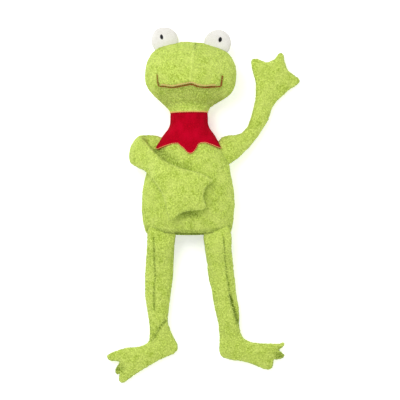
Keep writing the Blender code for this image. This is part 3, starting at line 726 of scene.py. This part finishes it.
def inside_outline(x, y, outline):
    """Whether each place in plan is inside a closed outline."""
    found = np.zeros(x.shape, bool)
    n = len(outline)
    for i in range(n):
        (x0, y0), (x1, y1) = outline[i], outline[(i + 1) % n]
        if y0 == y1:
            continue
        hit = (y0 > y) != (y1 > y)
        found ^= hit & (x < (x1 - x0) * (y - y0) / (y1 - y0) + x0)
    return found


def rounded(outline, step=0.8, passes=2):
    """A closed outline with its corners softened, as close evenly spaced points."""
    p = np.array(outline, float)
    for _ in range(passes):
        q = np.roll(p, -1, axis=0)
        p = np.stack([0.84 * p + 0.16 * q, 0.16 * p + 0.84 * q], 1).reshape(-1, 2)
    closed = np.concatenate([p, p[:1]])
    s = np.concatenate([[0], np.cumsum(np.linalg.norm(np.diff(closed, axis=0), axis=1))])
    t = np.arange(0, s[-1] - step / 2, s[-1] / round(s[-1] / step))
    return np.stack([np.interp(t, s, closed[:, 0]), np.interp(t, s, closed[:, 1])], -1)


def swell(outline, cell=1.0, steps=1500):
    """How a stuffed shape rises over a flat outline: the height of a cushion that full, as a grid."""
    low, high = outline.min(0) - 3 * cell, outline.max(0) + 3 * cell
    nx, ny = np.ceil((high - low) / cell).astype(int)
    gx, gy = np.meshgrid(low[0] + cell * np.arange(nx), low[1] + cell * np.arange(ny), indexing="ij")
    within = inside_outline(gx, gy, outline)
    u = np.zeros((nx, ny))
    for _ in range(steps):
        mean = (np.roll(u, 1, 0) + np.roll(u, -1, 0) + np.roll(u, 1, 1) + np.roll(u, -1, 1)) / 4
        u = np.where(within, u + (mean + cell * cell / 4 - u), 0)
    return low, cell, u


def sample(grid, x, y):
    """The grid's height at each place, between its points."""
    low, cell, u = grid
    i, j = (x - low[0]) / cell, (y - low[1]) / cell
    i0, j0 = np.floor(i).astype(int), np.floor(j).astype(int)
    a, b = i - i0, j - j0
    return ((1 - a) * (1 - b) * u[i0, j0] + a * (1 - b) * u[i0 + 1, j0]
            + (1 - a) * b * u[i0, j0 + 1] + a * b * u[i0 + 1, j0 + 1])


def pillow(outline, plump, cell=CELL, hollow=(), dark=()):
    """A stuffed shape over an outline: plan places, half heights, painted shade, and faces of its two skins.

    plump(x, y) is how full it is, hollow lists the lines of its grooves in plan with a depth and a width, and
    dark lists round places that get painted shade, with a width.
    """
    edge = rounded(outline)
    grid = swell(edge)
    low, high = edge.min(0), edge.max(0)
    rows = np.arange(low[1], high[1], cell * 0.87)
    inner = []
    for k, y in enumerate(rows):
        x = np.arange(low[0] + (k % 2) * cell / 2, high[0], cell)
        inner.append(np.stack([x, np.full(len(x), y)], -1))
    inner = np.concatenate(inner)
    inner = inner[inside_outline(inner[:, 0], inner[:, 1], edge)]
    r = np.full(len(inner), 1e9)
    for k in range(len(edge)):
        r = np.minimum(r, (inner[:, 0] - edge[k, 0]) ** 2 + (inner[:, 1] - edge[k, 1]) ** 2)
    inner = inner[r > (0.55 * cell) ** 2]
    flat = np.concatenate([edge, inner])
    made = delaunay_2d_cdt([Vector(v) for v in flat.tolist()], [], [list(range(len(edge)))], 1, 1e-4, False)
    flat = np.array([tuple(v) for v in made[0]])
    faces = np.array([f for f in made[2] if len(f) == 3])
    middle = flat[faces].mean(1)
    faces = faces[inside_outline(middle[:, 0], middle[:, 1], edge)]
    a, b, c = (flat[faces[:, k]] for k in range(3))
    flip = np.cross(b - a, c - a) < 0
    faces[flip] = faces[flip][:, ::-1]
    on_edge = np.zeros(len(flat), bool)
    uses = {}
    for f in faces.tolist():
        for k in range(3):
            e = (f[k], f[(k + 1) % 3])
            uses[tuple(sorted(e))] = uses.get(tuple(sorted(e)), 0) + 1
    for e, times in uses.items():
        if times == 1:
            on_edge[list(e)] = True
    x, y = flat[:, 0], flat[:, 1]
    rise = np.sqrt(np.maximum(2 * sample(grid, x, y), 0)) * plump(x, y)
    rise[on_edge] = 0
    # painted shade in the grooves and creases, at the listed places and along the outline's edge, less on the
    # under skin; a groove's seam line is also darker
    shade = np.zeros(len(flat))
    for line, depth, width in hollow:
        r, _along = distance_to(np.array(line, float), x, y)
        g = bump(r, width)
        rise -= depth * g * (rise > depth)
        shade += 0.5 * g
    for (tx, ty), width in dark:
        shade += 0.55 * bump(np.hypot(x - tx, y - ty), width)
    shade += 0.25 * on_edge
    other = np.arange(len(flat))
    other[~on_edge] = len(flat) + np.arange((~on_edge).sum())
    free = ~on_edge
    places = np.concatenate([flat, flat[free]])
    heights = np.concatenate([rise, -rise[free]])
    shades = np.concatenate([shade, 0.6 * shade[free]])
    skin = np.concatenate([faces, other[faces][:, ::-1]])
    return places, heights, np.clip(shades, 0, 0.9), skin


def build_limb(outline, plump, place, cuts, seed, hollow=(), dark=()):
    """A whole stuffed limb in one skin, cut into one piece for each joint that it crosses."""
    flat, rise, shade, faces = pillow(outline, plump, hollow=hollow, dark=dark)
    p = place(flat[:, 0], flat[:, 1], rise)
    p[:, :2] = as_seen(p[:, :2], p[:, 2])
    p, nap = terry(p, faces, seed)
    p[:, 2] = np.maximum(p[:, 2], FLOOR_GAP)
    n = normals_of(p, faces)
    centre = flat[faces].mean(1)
    part = np.zeros(len(faces), int)
    for point, direction in (c["line"] for c in cuts[1:]):
        part += ((centre[:, 0] - point[0]) * direction[0] + (centre[:, 1] - point[1]) * direction[1] > 0)
    for k, piece in enumerate(cuts):
        mine = faces[part == k]
        used, index = np.unique(mine, return_inverse=True)
        o = new_object(piece["name"], p[used], index.reshape(-1, 3), GREEN, nap[used], shade[used],
                       normals=n[used])
        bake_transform(o)
        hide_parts(*piece["nodes"])


def fullness(thick, thin, point, direction, width=10.0, top=None):
    """How full a limb is: thick before a line in plan, thin past it, and pinched at its sewn-on top."""
    d = np.array(direction, float) / np.hypot(*direction)

    def plump(x, y):
        t = smooth_step(((x - point[0]) * d[0] + (y - point[1]) * d[1]) / width + 0.5)
        full = thick + (thin - thick) * t
        return full if top is None else full * (0.42 + 0.58 * smooth_step((top - y) / 20))
    return plump


LEFT_ARM = (
    (40, 31), (46, 31.2), (50, 32.8), (56, 37), (63.3, 42.8), (71, 49.5), (78, 58.5), (85.5, 67), (92, 77),
    (97.5, 87), (100.5, 97), (104.5, 105.5), (109, 111.5), (116.3, 118), (124, 125.5), (134, 131.2),
    (137.3, 135.5), (136.2, 139.5), (129.5, 144), (121.2, 150.6), (117.8, 162.5), (117.2, 168.5), (114.5, 171.5),
    (111, 170.5), (105.5, 163.3), (96.3, 159.6), (85, 164.4), (79, 164), (76.5, 161.5), (77.2, 155),
    (82.3, 135), (82.2, 122), (81.3, 111.5), (76.7, 90), (72.5, 79), (65, 71), (57, 68.8), (47, 68),
    (40, 66), (35.5, 61), (34, 52))


def place_left_arm(x, y, rise):
    """The left arm comes down from the shoulder to the floor."""
    along = np.interp((x * 0.72 + y * 0.70), (60, 85, 110, 135, 170), (25, 19.5, 14.5, 10.5, 8.8))
    return np.stack([x, y, along + rise], -1)


# The right arm unfolded: how far out along its upper part and back along the forearm, and across.
RIGHT_ARM = (
    (42, 52), (58, 51), (70, 48.8), (78, 46), (86, 43.5), (94, 40), (100, 36), (106.3, 31.6), (121.5, 25.2),
    (135.4, 23.2), (151.2, 22.9), (166.6, 24.1), (180, 23.6), (187.2, 21.9), (188.2, 19.6), (183.8, 12.5),
    (182.6, 5), (183, -1), (186.4, -6.5), (190.6, -12.2), (191.5, -15.6), (189, -18), (183.2, -21.4),
    (174.3, -24.5), (167, -28.2), (161, -34.2), (157, -42.8), (154.8, -44.8), (151.8, -42.5), (145.7, -34.2),
    (135.7, -17.8), (123.7, -7.3), (108.2, 3.0), (103, 5.0), (95.8, 6.2), (86, 7.4), (78, 9.6), (70, 13.5),
    (60, 19), (50, 21), (42, 22))
OUT, ALONG = np.array((-0.949, 0.316)), np.array((0.316, 0.949))
FOLD_AT, FOLD_RADIUS = 67.5, 9.6
FOLD_LENGTH = math.pi * FOLD_RADIUS


def place_right_arm(q, s, rise):
    """Bends the unfolded arm round the elbow, and lays the forearm and hand up over the belly."""
    turn = np.clip((q - FOLD_AT) / FOLD_RADIUS, 0, math.pi)
    past = np.maximum(q - FOLD_AT - FOLD_LENGTH, 0)
    flat_part = np.minimum(q, FOLD_AT)
    m = np.where(past > 0, FOLD_AT - past, flat_part) + FOLD_RADIUS * np.sin(turn)
    z_lower = np.interp(q, (40, 55, 68), (23.0, 19.0, 15.0))
    z = z_lower + FOLD_RADIUS * (1 - np.cos(turn))
    x, y = m * OUT[0] + s * ALONG[0], m * OUT[1] + s * ALONG[1]
    rest = np.maximum(front_height(x, y), 30)
    lay = smooth_step(past / 34)
    climb = z + past * 0.95
    top = 0.45 * np.minimum(rest + 9.4, 68.4) + 0.55 * 68.4
    z = np.where(past > 0, climb * (1 - lay) + top * lay, z)
    # past the fold the skin is turned over, so its height is added the other way up
    normal_z = np.where(turn >= math.pi, 1.0, -np.cos(turn))
    normal_m = np.sin(turn)
    out_m = m + rise * normal_m
    out_z = z + rise * normal_z
    return np.stack([out_m * OUT[0] + s * ALONG[0], out_m * OUT[1] + s * ALONG[1], out_z], -1)


LEFT_LEG = (
    (49, -44), (51.6, -57.5), (51.6, -72.5), (54, -92.5), (56.3, -112.5), (57.8, -127.5), (60, -142.5),
    (61.3, -157.5), (61.2, -168), (63.2, -178), (66, -184.5), (70, -187.6), (76.5, -190.4), (86.5, -191.7),
    (98.6, -191.7), (110.5, -192.2), (116.5, -189.7), (118.4, -191.8), (117.6, -195.4), (110.8, -200.3),
    (115.5, -202.6), (118.8, -206.5), (117, -210.2), (110.5, -211.6), (104.5, -211.4), (103.9, -217.4),
    (102.8, -222), (99.3, -224.4), (94, -224.2), (85, -220.4), (74.5, -216), (66.6, -214), (55, -213.2),
    (46.8, -211.2), (40.3, -209.2), (37.6, -206), (36.7, -199.6), (37.3, -185), (35.6, -167.5), (33.2, -157.5),
    (30, -142.5), (27.5, -127.5), (23.9, -112.5), (21.3, -92.5), (18.8, -72.5), (16, -58), (17, -44))
RIGHT_LEG = (
    (-16.5, -44), (-18, -58), (-20, -72.5), (-20, -92.5), (-21.3, -112.5), (-23.8, -127.5), (-25.5, -142.5),
    (-27, -155), (-28.2, -164), (-25, -174), (-20, -185), (-15.6, -193.5), (-15.4, -199.5), (-19.5, -204.6),
    (-27, -207.6), (-39, -213), (-51, -220), (-63, -227), (-74.3, -234.2), (-81.5, -240.2), (-85, -241.4),
    (-88.4, -239.8), (-89.3, -235.5), (-88.2, -229.5), (-90.5, -231), (-93.6, -228), (-92, -221),
    (-87, -214.6), (-92.8, -213.8), (-98.4, -213.9), (-102.4, -211.6), (-104.3, -208), (-101, -204.6),
    (-91, -200.4), (-80.5, -197.6), (-71, -197), (-62.8, -195.5), (-55, -192.6), (-51, -188.8), (-50.3, -181),
    (-50.3, -170), (-52.2, -157.5), (-54.8, -142.5), (-56.2, -127.5), (-56.3, -112.5), (-55, -92.5),
    (-53.9, -72.5), (-53.6, -58), (-51.5, -44))


def place_leg(toe_x, toe_y):
    """A leg comes down from under the belly to the floor, and its foot lies there, one toe lower."""
    def place(x, y, rise):
        z = np.interp(-y, (44, 54, 62, 78, 92, 108, 165, 185), (34, 34.5, 32.5, 24.5, 17.5, 13.6, 11.6, 9.4))
        toe = bump(np.hypot(x - toe_x, y - toe_y), 9)
        z = z - 2.6 * toe
        return np.stack([x, y, z + rise * (1 - 0.25 * toe)], -1)
    return place


def cut(name, bodies, start, end, nodes, line=None):
    """One piece of a limb: what it bends between (not used), and the point and direction of the line it starts
    at.
    """
    return {"name": name, "bodies": bodies, "start": start, "end": end, "nodes": nodes, "line": line}


def build_limbs():
    build_limb(
        LEFT_ARM, fullness(0.72, 0.46, (86, 104), (0.2, 1), 26), place_left_arm,
        [cut("left_upper_arm_towelling", ("torso", "left_upper_arm"), (41, 50, 24), (50, 55.5, 24),
             ("left_upper_arm_cover", "left_upper_arm_filling")),
         cut("left_forearm_towelling", ("left_upper_arm", "left_forearm"), (66.5, 61.5, 15), (76, 74, 15),
             ("left_forearm_cover", "left_forearm_filling"), ((61, 56), (0.72, 0.70))),
         cut("left_hand_towelling", ("left_forearm", "left_hand"), (90, 98, 8.5), (94, 111, 8.5),
             ("left_hand_front", "left_hand_back", "left_hand_filling"), ((83.5, 86), (0.4, 0.92)))],
        61)
    build_limb(
        RIGHT_ARM, fullness(0.66, 0.42, (128, 8), (1, 0), 30), place_right_arm,
        [cut("right_upper_arm_towelling", ("torso", "right_upper_arm"), (-40, 52, 24), (-49, 51, 24),
             ("right_upper_arm_cover", "right_upper_arm_filling")),
         cut("right_forearm_towelling", ("right_upper_arm", "right_forearm"), (-71, 48, 24), (-71, 48, 33),
             ("right_forearm_cover", "right_forearm_filling"), ((FOLD_AT - 1, 30), (1, 0))),
         cut("right_hand_towelling", ("right_forearm", "right_hand"), (-41, 25, 67), (-33, 17.5, 67),
             ("right_hand_front", "right_hand_back", "right_hand_filling"), ((112, 12), (1, 0)))],
        67)
    # side, outline, seed, groove of the seam, crease, toe with painted shade, and x of the hip, knee and ankle
    for side, outline, seed, groove, crease, toe, (hip, knee, ankle) in (
            ("left", LEFT_LEG, 71,
             ((42, -60), (44.3, -90), (47.5, -115), (50, -130), (56.5, -156), (58.8, -164)),
             (((50, -132), (55.5, -152), (59.5, -166)), 1.3, 2.4), (112, -206.8), (34, 39.5, 49.5)),
            ("right", RIGHT_LEG, 73,
             ((-45.3, -60), (-44.4, -90), (-43.5, -108), (-45.3, -129), (-44.4, -150)),
             (((-31, -163.5), (-38, -173), (-47.5, -188)), 1.4, 2.0), (-89.5, -223.5), (-36, -38.7, -41.5))):
        build_limb(
            outline, fullness(0.78, 0.46, (ankle, -178), (0, -1), 24, top=-55), place_leg(*toe),
            [cut(f"{side}_thigh_towelling", ("torso", f"{side}_thigh"), (hip, -50, 37), (hip, -64, 37),
                 (f"{side}_thigh_cover", f"{side}_thigh_filling")),
             cut(f"{side}_shin_towelling", (f"{side}_thigh", f"{side}_shin"), (knee, -102, 13),
                 (knee, -119, 13), (f"{side}_shin_cover", f"{side}_shin_filling"), ((hip, -90), (0, -1))),
             cut(f"{side}_foot_towelling", (f"{side}_shin", f"{side}_foot"), (ankle, -158, 11),
                 (ankle, -174, 11), (f"{side}_foot_top", f"{side}_foot_sole", f"{side}_foot_filling"),
                 ((ankle, -140), (0, -1)))],
            seed, hollow=[(groove, 0.9, 1.3), crease], dark=[(toe, 6.5)])


# ---------------------------------------------------------------- the studio

def build_stage():
    """A pale floor, soft light, and the camera straight above."""
    mesh = bpy.data.meshes.new("floor")
    r = 3.0
    mesh.from_pydata([(-r, -r, 0), (r, -r, 0), (r, r, 0), (-r, r, 0)], [], [(0, 1, 2, 3)])
    floor = bpy.data.objects.new("floor", mesh)
    bpy.context.scene.collection.objects.link(floor)
    m, tree, shader = nodes_of("floor_white", (0.93, 0.93, 0.93), 0.95)
    grain = noise(tree, add(tree, "ShaderNodeTexCoord").outputs["Object"], 40, 2)
    tree.links.new(mixed(tree, grain, (0.93, 0.93, 0.93), (0.94, 0.94, 0.94)), shader.inputs["Base Color"])
    shader.inputs["Emission Color"].default_value = (1, 1, 1, 1)
    shader.inputs["Emission Strength"].default_value = 0.40
    mesh.materials.append(m)

    world = bpy.data.worlds.new("studio")
    world.use_nodes = True
    world.node_tree.nodes["Background"].inputs[0].default_value = (1, 1, 1, 1)
    world.node_tree.nodes["Background"].inputs[1].default_value = 0.66
    bpy.context.scene.world = world
    for name, place, size, power in (("key", (-0.42, 0.46, 1.20), 0.7, 8.5),
                                     ("fill", (0.9, -0.6, 1.1), 1.2, 2.0)):
        light = bpy.data.lights.new(name, "AREA")
        light.size, light.energy = size, power
        o = bpy.data.objects.new(name, light)
        o.location = place
        o.rotation_euler = (Vector((0, 0, 0.03)) - Vector(place)).to_track_quat("-Z", "Y").to_euler()
        bpy.context.scene.collection.objects.link(o)

    data = bpy.data.cameras.new("camera")
    data.lens, data.sensor_width = LENS, SENSOR
    camera = bpy.data.objects.new("camera", data)
    camera.location = (AIM[0] * MM, AIM[1] * MM, CAMERA_Z * MM)
    data.clip_start, data.clip_end = 0.1, 20
    bpy.context.scene.collection.objects.link(camera)
    bpy.context.scene.camera = camera
    bpy.context.scene.view_settings.view_transform = "Standard"


build_body()
build_yoke()
build_lining()
build_head()
build_limbs()
build_stage()
